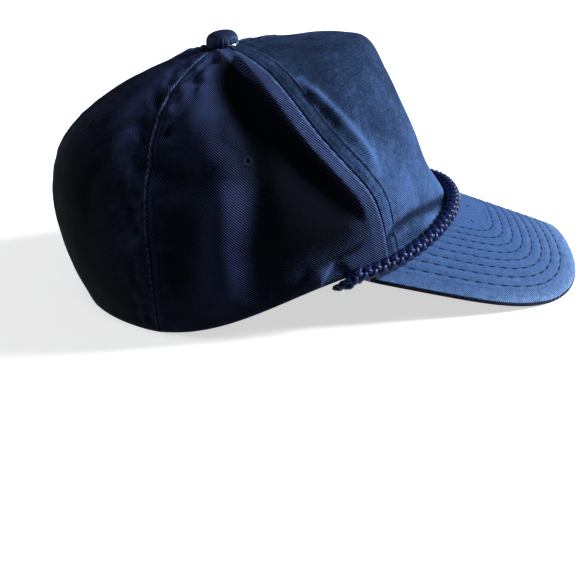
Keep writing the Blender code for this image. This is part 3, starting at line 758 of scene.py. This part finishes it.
ring = []
for spot, normal in eyelet_spots:
    level = normal.orthogonal().normalized()
    for step in range(RING_STITCHES):
        ray = Matrix.Rotation(2 * math.pi * step / RING_STITCHES, 3, normal) @ level
        ring.append((spot + ray * RING_RADIUS, ray, normal))
eyelets = sew("eyelets", ring, 0.0021, 0.00062)
eyelets.data.materials.append(navy_thread)
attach(eyelets, "root")


# Seam tapes. Folded strips of navy cotton sewn over the raw edges of every seam on the inside of
# the crown.

TAPE_WIDTH = 0.0130
TAPE_THICK = 0.0006
TAPE_LINES = (-0.5, -0.25, 0.0, 0.25, 0.5)      # shares of its width where it is laid on


def inside_wall(spot, outward):
    """The point on the inside of the crown behind a spot on its outside."""
    start = Vector(spot) - Vector(outward) * 0.014
    hits = [tree.ray_cast(start, Vector(outward), 0.02) for tree in crown_trees.values()]
    hits = [hit for hit in hits if hit[0] is not None]
    return min(hits, key=lambda hit: hit[3])[0] if hits else Vector(spot) - Vector(outward) * 0.002


tape_cotton, shader, wire = new_finish("navy_tape", 0.9, Specular_IOR_Level=0.2)
place = wire.place()
threads = wire.grain(place, 1700.0, 3.0, 0.7)
soiled = wire.grain(place, 70.0, 3.0)
navy_dye = (threads * 0.8 + soiled * 0.6 - 0.3).held()
join_up(tape_cotton, shader,
        Base_Color=navy_dye.blend((0.006, 0.009, 0.024, 1), (0.040, 0.055, 0.120, 1)),
        Roughness=0.8 + threads * 0.15, Normal=wire.relief(threads, 0.6, 0.0003))

order = list(PANELS)
pairs = [(one, other) for one, other in seams if order.index(one) < order.index(other)]
for number, pair in enumerate(pairs):
    line = seams[pair][4:-5:2]
    outward = outward_from(line)
    side = unit(np.cross(np.gradient(line, axis=0), outward))
    spots, faces = [], []
    for spot, up, across in zip(line, outward, side):
        for share in TAPE_LINES:
            found = inside_wall(spot + across * share * TAPE_WIDTH, up)
            spots.append(found - Vector(up) * TAPE_THICK / 2)
    wide = len(TAPE_LINES)
    for start in range(0, len(spots) - wide, wide):
        faces += [(at, at + 1, at + 1 + wide, at + wide) for at in range(start, start + wide - 1)]
    tape = new_piece("seam_tape_%d" % (number + 1), spots, faces)
    if tape.data.polygons[0].normal.dot(Vector(outward[0])) > 0:
        tape.data.flip_normals()
    finish_modifier(tape, "SOLIDIFY", thickness=TAPE_THICK, offset=1.0)
    bpy.ops.object.shade_smooth_by_angle(angle=math.radians(40))
    tape.data.materials.append(tape_cotton)
    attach(tape, "root")


# Brim. A curved plastic board between two layers of faded navy twill, sewn through with eight
# rows of darker thread that follow its outer edge. The rolled edge is worn pale.

BRIM_DOWN = math.radians(6.3166)    # the brim's own plan is tipped by this from the floor
# its outer edge in that plan, in millimetres, from the front to the wearer's left
BRIM_EDGE = ((0.0, -130.49), (21.56, -129.79), (30.56, -128.34), (37.94, -126.11),
             (44.21, -123.09), (49.58, -119.27), (54.16, -114.63), (58.03, -109.17),
             (61.26, -102.86), (63.93, -95.64), (66.12, -87.43), (67.96, -78.10),
             (69.58, -67.39), (71.17, -54.72), (72.71, -41.55), (75.26, -19.57))
ROWS = 8
FIRST_ROW, ROW_STEP = 0.00809, 0.00438      # first row from the edge, then row from row
INNER_PITCH, OUTER_PITCH = 0.0045, 0.0066   # stitch to stitch on the innermost and outermost row
BRIM_THREAD, LOOSE_THREAD = 0.00092, 0.0032  # width of the brim's thread, length of a loose one
ROPE_CLEAR = 0.0010                         # rows end this far in front of the rope's middle
BRIM_STRETCH = (1.12, 1.10)                 # the curved cloth against its plan, across and along
EDGE_REACH = 0.0018                         # how far in the rolled edge is rubbed
CORNER_SPREAD = 24                          # points either way over which a row's corners are eased
# two short loose threads on the upper side: place and direction
BRIM_MARKS = (((-0.0202, -0.0777, 0.0293), (0.6, 0.8, 0.0)),
              ((-0.0030, -0.0782, 0.0309), (-0.3, 1.0, 0.0)))

half_edge = [(x / 1000, y / 1000, 0.0) for x, y in BRIM_EDGE]
brim_edge = smooth_line([(-x, y, z) for x, y, z in half_edge[:0:-1]] + half_edge, 0.002)


def level_plan(points):
    """Points in the brim's own plan."""
    points = np.asarray(points, float)
    flat = np.zeros_like(points)
    flat[:, 0] = points[:, 0]
    flat[:, 1] = math.cos(BRIM_DOWN) * points[:, 1] - math.sin(BRIM_DOWN) * points[:, 2]
    return flat


heart = np.array((0.0, -0.045, 0.0))     # middle of the plan, from which the rows are found
ROW_TURNS = np.radians(np.arange(-108.0, 108.1, 0.5))
rays = np.stack((np.sin(ROW_TURNS), -np.cos(ROW_TURNS), np.zeros(len(ROW_TURNS))), axis=1)


def turns_and_reach(points):
    """Which way points of the plan lie from the brim's heart, and how far."""
    away = np.asarray(points) - heart
    return np.arctan2(away[:, 0], -away[:, 1]), np.hypot(away[:, 0], away[:, 1])


row_reach = []
edge_turns, edge_reach = turns_and_reach(brim_edge)
for row in range(ROWS):
    low, high = np.full(len(rays), 0.005), np.interp(ROW_TURNS, edge_turns, edge_reach)
    # the row's distance from the edge is closed in on, half by half, along each ray
    for _ in range(20):
        middle = (low + high) / 2
        deeper = beside(heart + rays * middle[:, None], brim_edge)[0] > FIRST_ROW + ROW_STEP * row
        low, high = np.where(deeper, middle, low), np.where(deeper, high, middle)
    line = smooth_line(heart + rays * low[:, None], 0.001)
    spread = 0.2 + 0.9 * row  # inner rows turn in wider corners
    weights = np.exp(-(np.arange(-CORNER_SPREAD, CORNER_SPREAD + 1) / spread) ** 2 / 2)
    padded = np.vstack([line[:1]] * CORNER_SPREAD + [line] + [line[-1:]] * CORNER_SPREAD)
    line = np.stack([np.convolve(padded[:, axis], weights / weights.sum(), "valid")
                     for axis in range(3)], axis=1)
    row_reach.append(np.interp(ROW_TURNS, *turns_and_reach(line)))

brim = finer_copy("brim", "brim_cloth", 3, edge=0.4)
brim_points = points_of(brim)
turns, reach = turns_and_reach(level_plan(brim_points))
reaches = [np.interp(turns, ROW_TURNS, one) for one in row_reach]
row_mark = (-np.maximum(reach - reaches[0], 0.0) / ROW_STEP
            + np.maximum(reaches[-1] - reach, 0.0) / ROW_STEP)
for outer, inner in zip(reaches, reaches[1:]):
    row_mark += np.clip((outer - reach) / (outer - inner), 0.0, 1.0)
mark(brim, "row", row_mark)
inset = beside(level_plan(brim_points), brim_edge)[0]
worn_and_lit = ((1.6 * np.exp(-inset / EDGE_REACH) + 0.50 * np.exp(-inset / 0.012))
        * (0.25 + 0.75 * ease((-0.060 - brim_points[:, 1]) / 0.045)))
mark(brim, "wear_and_highlight", np.clip(worn_and_lit, 0, 1))
lay_map(brim, "cloth", level_plan(brim_points)[:, :2] * BRIM_STRETCH)


def brim_twill(name, deep, pale, worn_and_lit, rise):
    """Fine twill that draws in along each row of stitching, its grooves painted darker as painted
    shade.
    """
    finish = twill(name, deep, pale, worn_and_lit, wale=0.0006, fade=0.52, mottle=0.42, weave=0.30,
                   rise=0.6, cloudy=0.5, specks=3.0)
    tree = finish.node_tree
    shader = tree.nodes["Principled BSDF"]
    row = Wire(tree).marked("row")
    off = (row - row.sum("ROUND", row)).size()
    sewn = row.between(-0.6, -0.4) * (1 - row.between(ROWS - 0.6, ROWS - 0.4))
    groove = (1 - off.between(0.0, 0.15)) * sewn
    swell = off.between(0.0, 0.5) * sewn
    colour = Wire(tree, shader.inputs["Base Color"].links[0].from_socket)
    weave = Wire(tree, shader.inputs["Normal"].links[0].from_socket)
    pressed = row.node("Bump", {"Height": swell - groove * 0.6, "Strength": rise,
                                "Distance": 0.0006, "Normal": weave})
    # painted shade: each stitched groove is painted darker, towards the deep dye
    join_up(finish, shader, Base_Color=(groove * 0.35).blend(colour, deep), Normal=pressed)
    return finish


brim_top = brim_twill("faded_brim_twill", (0.008, 0.020, 0.066, 1), (0.082, 0.175, 0.430, 1),
                      (0.26, 0.42, 0.72, 1), 0.35)
brim_under = brim_twill("brim_underside_twill", (0.006, 0.010, 0.025, 1), (0.026, 0.042, 0.090, 1),
                        (0.05, 0.075, 0.15, 1), 0.6)
brim.data.materials.append(brim_top)
brim.data.materials.append(brim_under)
for face in brim.data.polygons:
    # the upper layer ends at the rolled edge
    if face.normal.z < 0.30:
        face.material_index = 1
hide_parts("brim")
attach(brim, "root")

# The rope covers the inner ends of the rows: its middle from the front to the wearer's left, and
# its share of full thickness.
ROPE_LINE = (
    (0.00000, -0.07050, 0.03809, 1.0), (0.00731, -0.07015, 0.03799, 1.0),
    (0.01217, -0.06956, 0.03781, 1.0), (0.01699, -0.06869, 0.03753, 1.0),
    (0.02176, -0.06751, 0.03717, 1.0), (0.02646, -0.06606, 0.03672, 1.0),
    (0.03109, -0.06431, 0.03620, 1.0), (0.03563, -0.06229, 0.03560, 1.0),
    (0.04006, -0.05998, 0.03494, 1.0), (0.04438, -0.05741, 0.03423, 1.0),
    (0.04855, -0.05456, 0.03347, 1.0), (0.05258, -0.05146, 0.03268, 1.0),
    (0.05645, -0.04810, 0.03186, 1.0), (0.06014, -0.04450, 0.03105, 1.0),
    (0.06365, -0.04067, 0.03026, 1.0), (0.06695, -0.03660, 0.02950, 1.0),
    (0.07005, -0.03233, 0.02878, 1.0), (0.07295, -0.02788, 0.02813, 1.0),
    (0.07562, -0.02323, 0.02758, 1.0), (0.07801, -0.01837, 0.02722, 1.0),
    (0.08017, -0.01363, 0.02461, 0.80), (0.07842, -0.00753, 0.02186, 0.35))

brim_tree = tree_of(brim)
rope_turn, rope_reach = turns_and_reach(level_plan([point[:3] for point in ROPE_LINE]))
down = Vector((0.0, -math.sin(BRIM_DOWN), -math.cos(BRIM_DOWN)))
top_rows, under_rows, top_lengths = [], [], []
for row, reach in enumerate(row_reach):
    pitch = OUTER_PITCH + (INNER_PITCH - OUTER_PITCH) * row / (ROWS - 1)
    keep = reach > np.interp(np.abs(ROW_TURNS), rope_turn, rope_reach) + ROPE_CLEAR
    line = (heart + rays * reach[:, None])[keep]
    for places, drop in ((top_rows, 1.0), (under_rows, -1.0)):
        spots, ups = [], []
        for x, y, _ in line:
            start = Vector((x, y * math.cos(BRIM_DOWN), -y * math.sin(BRIM_DOWN)))
            hit, normal, _, _ = brim_tree.ray_cast(start - down * 0.15 * drop, down * drop)
            if hit:
                spots.append(hit)
                ups.append(normal)
        made = row_places(spots, ups, pitch, first=0.3 + 0.13 * row)
        places += made
        if places is top_rows:
            top_lengths += [pitch * 0.80] * len(made)
for spot, along in BRIM_MARKS:
    hit, normal, _, _ = brim_tree.find_nearest(Vector(spot))
    top_rows.append((hit, Vector(along), normal))
    top_lengths.append(LOOSE_THREAD)
brim_stitches = sew("brim_stitches", top_rows, np.array(top_lengths), BRIM_THREAD, sink=THREAD_SUNK)
under_stitches = sew("brim_underside_stitches", under_rows, 0.0034, 0.0006)
for piece in (brim_stitches, under_stitches):
    piece.data.materials.append(navy_thread)
    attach(piece, "root")


# Rope. A round cord of six plump satin strands, three laid each way and braided over and under
# one another, sewn along the foot of the crown with its ends tucked under the crown's edge.

STRANDS = 3
BRAID_PITCH = 0.0150        # length over which a strand goes once round
BRAID_RADIUS = 0.00205
BRAID_LIFT = 0.00055        # how far it rises over the others and sinks under them
STRAND_WIDE, STRAND_THICK = 0.00285, 0.00205
CORE_RADIUS = 0.00165
ROPE_STEP = 0.0005          # from one ring of its mesh to the next

half_rope = np.array(ROPE_LINE)
whole_rope = np.vstack((half_rope[:0:-1] * (-1, 1, 1, 1), half_rope))
rope_line = smooth_line(whole_rope[:, :3], ROPE_STEP)
rope_far = np.arange(len(rope_line)) * ROPE_STEP
rope_size = np.interp(rope_far / rope_far[-1], beside(whole_rope[:, :3], rope_line)[1],
                      whole_rope[:, 3])
rope_along = unit(np.gradient(rope_line, axis=0))
rope_up = unit(np.array((0.0, 0.0, 1.0)) - rope_along * rope_along[:, 2:])
rope_side = np.cross(rope_along, rope_up)


def tube(name, middles, wides, thicks, sides):
    """A closed tube along a line, oval across, its long way and short way given at each point."""
    turns = np.linspace(0.0, 2 * math.pi, sides, endpoint=False)
    rings = (middles[:, None] + np.cos(turns)[None, :, None] * wides[:, None]
             + np.sin(turns)[None, :, None] * thicks[:, None])
    count = len(middles)
    faces = [(start + side, start + (side + 1) % sides, start + sides + (side + 1) % sides,
              start + sides + side)
             for start in range(0, (count - 1) * sides, sides) for side in range(sides)]
    faces += [tuple(range(sides))[::-1], tuple(range((count - 1) * sides, count * sides))]
    piece = new_piece(name, rings.reshape(-1, 3).tolist(), faces)
    laid = np.meshgrid(np.arange(sides) / sides, np.arange(count) * ROPE_STEP)
    lay_map(piece, "strand", np.stack(laid, axis=-1).reshape(-1, 2))
    bpy.ops.object.mode_set(mode="EDIT")
    bpy.ops.mesh.select_all(action="SELECT")
    bpy.ops.mesh.normals_make_consistent(inside=False)
    bpy.ops.object.mode_set(mode="OBJECT")
    bpy.ops.object.shade_smooth()
    return piece


def joined(pieces, name):
    """Several pieces made one, under a name."""
    bpy.ops.object.select_all(action="DESELECT")
    for piece in pieces:
        piece.select_set(True)
    bpy.context.view_layer.objects.active = pieces[0]
    bpy.ops.object.join()
    pieces[0].name = name
    return pieces[0]


strands = []
for lay in (1, -1):
    for strand in range(STRANDS):
        turn = lay * 2 * math.pi * rope_far / BRAID_PITCH + 2 * math.pi * strand / STRANDS
        lift = lay * BRAID_LIFT * np.cos(math.pi * rope_far / (BRAID_PITCH / (2 * STRANDS)))
        ray = np.cos(turn)[:, None] * rope_side + np.sin(turn)[:, None] * rope_up
        middles = rope_line + ray * ((BRAID_RADIUS + lift) * rope_size)[:, None]
        course = unit(np.gradient(middles, axis=0))
        rise = unit(ray - course * np.sum(ray * course, axis=1, keepdims=True))
        wide = np.cross(course, rise)
        size = rope_size[:, None] / 2
        strands.append(tube("strand", middles, wide * STRAND_WIDE * size,
                            rise * STRAND_THICK * size, 8))
strands.append(tube("core", rope_line, rope_side * (CORE_RADIUS * rope_size)[:, None],
                    rope_up * (CORE_RADIUS * rope_size)[:, None], 8))
rope = joined(strands, "braided_rope")

cord, shader, wire = new_finish("navy_satin_cord", 0.34, Specular_IOR_Level=0.22,
                                Specular_Tint=(0.40, 0.55, 1.0, 1.0))
strand_map = wire.node("SeparateXYZ", {0: wire.node("UVMap", uv_map="strand")})
fibres = (strand_map * 12.0 + strand_map.other("Y") / 0.0030).wave()
place = wire.place()
fuzz = wire.grain(place, 1500.0, 2.0)
tint = wire.grain(place, 220.0, 2.0)
satin_dye = (tint * 0.8 + fibres * 0.2 - 0.15).held()
join_up(cord, shader,
        Base_Color=satin_dye.blend((0.0020, 0.0035, 0.018, 1), (0.015, 0.030, 0.140, 1)),
        Roughness=0.22 + fuzz * 0.20, Normal=wire.relief(fibres * 0.5 + fuzz * 0.3, 0.25, 0.0002))
rope.data.materials.append(cord)
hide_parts("rope")
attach(rope, "root")


# Button. A metal cap covered in the crown's twill, gathered under its rim and pressed on over
# the point where the five panels meet.

GATHERS, GATHER_DEPTH = 22, 0.00010

button = finer_copy("button", "button_cloth", 2)
points = points_of(button)
low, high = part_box("button")
middle = (low + high) / 2
turn = np.arctan2(points[:, 0] - middle.x, points[:, 1] - middle.y)
out = np.hypot(points[:, 0] - middle.x, points[:, 1] - middle.y)
share = out / out.max()
gather = GATHER_DEPTH * np.sin(turn * GATHERS) * bump(share - 0.97, 0.10)
points[:, 0] += gather * np.sin(turn)
points[:, 1] += gather * np.cos(turn)
place_points(button, points)
mark(button, "wear_and_highlight", 0.55 * bump(share - 0.95, 0.07))
lay_map(button, "cloth", points[:, :2])
button_twill = twill("button_twill", (0.003, 0.005, 0.015, 1), (0.035, 0.060, 0.150, 1),
                     (0.12, 0.19, 0.36, 1), wale=0.0008, fade=0.35, mottle=0.5, weave=0.25)
button.data.materials.append(button_twill)
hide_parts("button")
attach(button, "root")

# the bare edge of the button's metal cap shows just above the cloth that it is pressed onto
EDGE_UP, EDGE_INSET, EDGE_THICK, EDGE_POINTS = 0.0043, 0.0002, 0.00038, 40
arc = np.radians(np.linspace(-160.0, -85.0, EDGE_POINTS))
rays = np.stack((np.cos(arc), np.sin(arc), np.zeros(EDGE_POINTS)), axis=1)
thin = EDGE_THICK * np.sin(np.linspace(0.12, math.pi - 0.12, EDGE_POINTS))[:, None]
edge_middle = np.array((middle.x, middle.y, low.z + EDGE_UP))
button_edge = tube("button_metal_edge", edge_middle + rays * (out.max() - EDGE_INSET),
                   rays * thin, np.array((0.0, 0.0, 1.0)) * thin, 8)
tin, shader, wire = new_finish("bright_tin", 0.25, Metallic=1.0)
place = wire.place()
dulled = wire.grain(place, 900.0, 3.0)
join_up(tin, shader, Base_Color=dulled.blend((0.55, 0.56, 0.58, 1), (0.85, 0.86, 0.88, 1)),
        Roughness=0.15 + dulled * 0.25, Normal=wire.relief(dulled, 0.15, 0.0002))
button_edge.data.materials.append(tin)
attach(button_edge, "root")


# Sweatband. A folded strip of plain navy cotton inside the foot of the crown, sewn on along its
# lower edge and loose above.

BAND_ROWS = (0.0035, 0.0300)    # rows of stitches above the crown's foot
BAND_PITCH, BAND_STITCH = 0.0034, 0.0026

band = finer_copy("sweatband", "sweatband_cloth", 2)
points = points_of(band)
pressed = np.minimum(fold_height(points)[0], 0.0) * ease(foot_gap(points) / 0.012) - 0.2
place_points(band, points + outward_from(points) * pressed[:, None] * 0.001)
lay_pattern(band, 0.0)
band_cloth = twill("sweatband_cotton", (0.014, 0.018, 0.040, 1), (0.055, 0.068, 0.130, 1),
                   (0.08, 0.10, 0.18, 1), wale=0.0009, fade=0.45, mottle=0.35, weave=0.4, rise=0.5)
band.data.materials.append(band_cloth)
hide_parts("sweatband")
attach(band, "root")

band_tree = tree_of(band)
band_rows = []
for above in BAND_ROWS:
    spots, ups = [], []
    for turn in np.radians(np.arange(-146.0, 146.1, 1.0)):
        level = np.interp(turn, FOOT_TURNS, foot_low) + above
        ray = Vector((math.sin(turn), -math.cos(turn), 0.0))
        hit, normal, _, _ = band_tree.ray_cast(Vector((0.0, CROWN_MIDDLE[1], level)), ray, 0.12)
        if hit is not None:
            spots.append(hit)
            ups.append(normal if normal.dot(ray) < 0 else -normal)
    band_rows += row_places(spots, ups, BAND_PITCH)
band_stitches = sew("sweatband_stitches", band_rows, BAND_STITCH, 0.0005)
band_stitches.data.materials.append(worn_thread)
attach(band_stitches, "root")


# Snap strap. Two straps of navy plastic, one with round pegs pressed through the holes of the
# other, each sewn behind a back panel.

PEGS, PEG_STEP = 7, 0.0075
PEG_RADIUS, PEG_HEIGHT, PEG_BEVEL = 0.0024, 0.0016, 0.0004
# pegs show on both sides of the strap: which way to look for it, and from where
PEG_SIDES = ((1.0, 0.05), (-1.0, 0.20))

strap = finer_copy("snap_strap", "snap_strap_plastic", 2)
plastic, shader, wire = new_finish("navy_strap_plastic", 0.38, Specular_IOR_Level=0.5)
place = wire.place()
grain = wire.grain(place, 1400.0, 2.0)
scuffs = wire.grain(place, 90.0, 4.0, 0.6)
scuffed = scuffs.between(0.4, 0.75)
join_up(plastic, shader,
        Base_Color=scuffed.blend((0.010, 0.013, 0.036, 1), (0.026, 0.034, 0.075, 1)),
        Roughness=0.30 + scuffs * 0.25, Normal=wire.relief(grain, 0.25, 0.0002))
strap.data.materials.append(plastic)
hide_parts("snap_strap")
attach(strap, "root")

strap_tree = tree_of(strap)
low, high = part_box("snap_strap")
pegs = []
for number in range(PEGS):
    for way, from_y in PEG_SIDES:
        start = Vector(((number - (PEGS - 1) // 2) * PEG_STEP, from_y, (low.z + high.z) / 2))
        hit, normal, _, _ = strap_tree.ray_cast(start, Vector((0.0, way, 0.0)))
        if hit is None:
            continue
        bpy.ops.object.select_all(action="DESELECT")
        bpy.ops.mesh.primitive_cylinder_add(vertices=24, radius=PEG_RADIUS, depth=PEG_HEIGHT,
                                            location=hit,
                                            rotation=normal.to_track_quat("Z", "Y").to_euler())
        peg = bpy.context.object
        bpy.ops.object.transform_apply(location=True, rotation=True, scale=True)
        finish_modifier(peg, "BEVEL", width=PEG_BEVEL, segments=3, limit_method="ANGLE")
        pegs.append(peg)
snap_pegs = joined(pegs, "snap_pegs")
bpy.ops.object.shade_smooth_by_angle(angle=math.radians(40))
snap_pegs.data.materials.append(plastic)
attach(snap_pegs, "root")


# Plain pale floor, a large soft light in front of the cap and above it, and the camera at the
# wearer's right.

FLOOR_SIZE = 8.0
LENS = 68.268
CAMERA_PLACE = (-0.52608369, 0.00306525, 0.22279788)
# the camera's right, its up, and the way from the cap back to it
CAMERA_AXES = ((0.00115507, -0.99915779, -0.04101675), (0.40965096, -0.03694446, 0.91149394),
               (-0.91224161, -0.01785540, 0.40926327))
# name, place, what it is aimed at, size in metres, watts, colour
LIGHTS = (("window", (0.30, -2.62, 1.36), (0.0, 0.0, 0.06), 1.0, 222.0, (0.93, 0.97, 1.0)),
          ("ceiling", (-0.6, 0.5, 2.3), (0.0, 0.0, 0.05), 1.2, 8.0, (1.0, 1.0, 1.0)),
          ("back_wall", (0.5, 2.5, 0.9), (0.0, 0.1, 0.06), 1.6, 14.0, (0.95, 0.98, 1.0)))

bpy.ops.object.select_all(action="DESELECT")
bpy.ops.mesh.primitive_plane_add(size=FLOOR_SIZE)
floor = bpy.context.object
floor.name = "floor"
pale_floor = new_finish("pale_floor", 0.9, Base_Color=(0.86, 0.86, 0.87, 1),
                        Emission_Color=(1, 1, 1, 1), Emission_Strength=0.62)[0]
floor.data.materials.append(pale_floor)
floor.visible_diffuse = False

for name, spot, aim, size, power, colour in LIGHTS:
    lamp = bpy.data.lights.new(name, "AREA")
    lamp.shape, lamp.size, lamp.energy, lamp.color = "SQUARE", size, power, colour
    light = bpy.data.objects.new(name, lamp)
    light.location = spot
    light.rotation_euler = (Vector(aim) - Vector(spot)).to_track_quat("-Z", "Y").to_euler()
    bpy.context.collection.objects.link(light)

world = bpy.data.worlds.new("studio")
bpy.context.scene.world = world
world.use_nodes = True
background = world.node_tree.nodes["Background"]
background.inputs["Color"].default_value = (0.90, 0.93, 1.0, 1)
background.inputs["Strength"].default_value = 0.05

lens = bpy.data.cameras.new("camera")
lens.sensor_width = 36.0
lens.lens = LENS
lens.clip_start = 0.01
camera = bpy.data.objects.new("camera", lens)
turned = Matrix(CAMERA_AXES).transposed().to_4x4()
camera.matrix_world = Matrix.Translation(CAMERA_PLACE) @ turned
bpy.context.collection.objects.link(camera)
bpy.context.scene.camera = camera
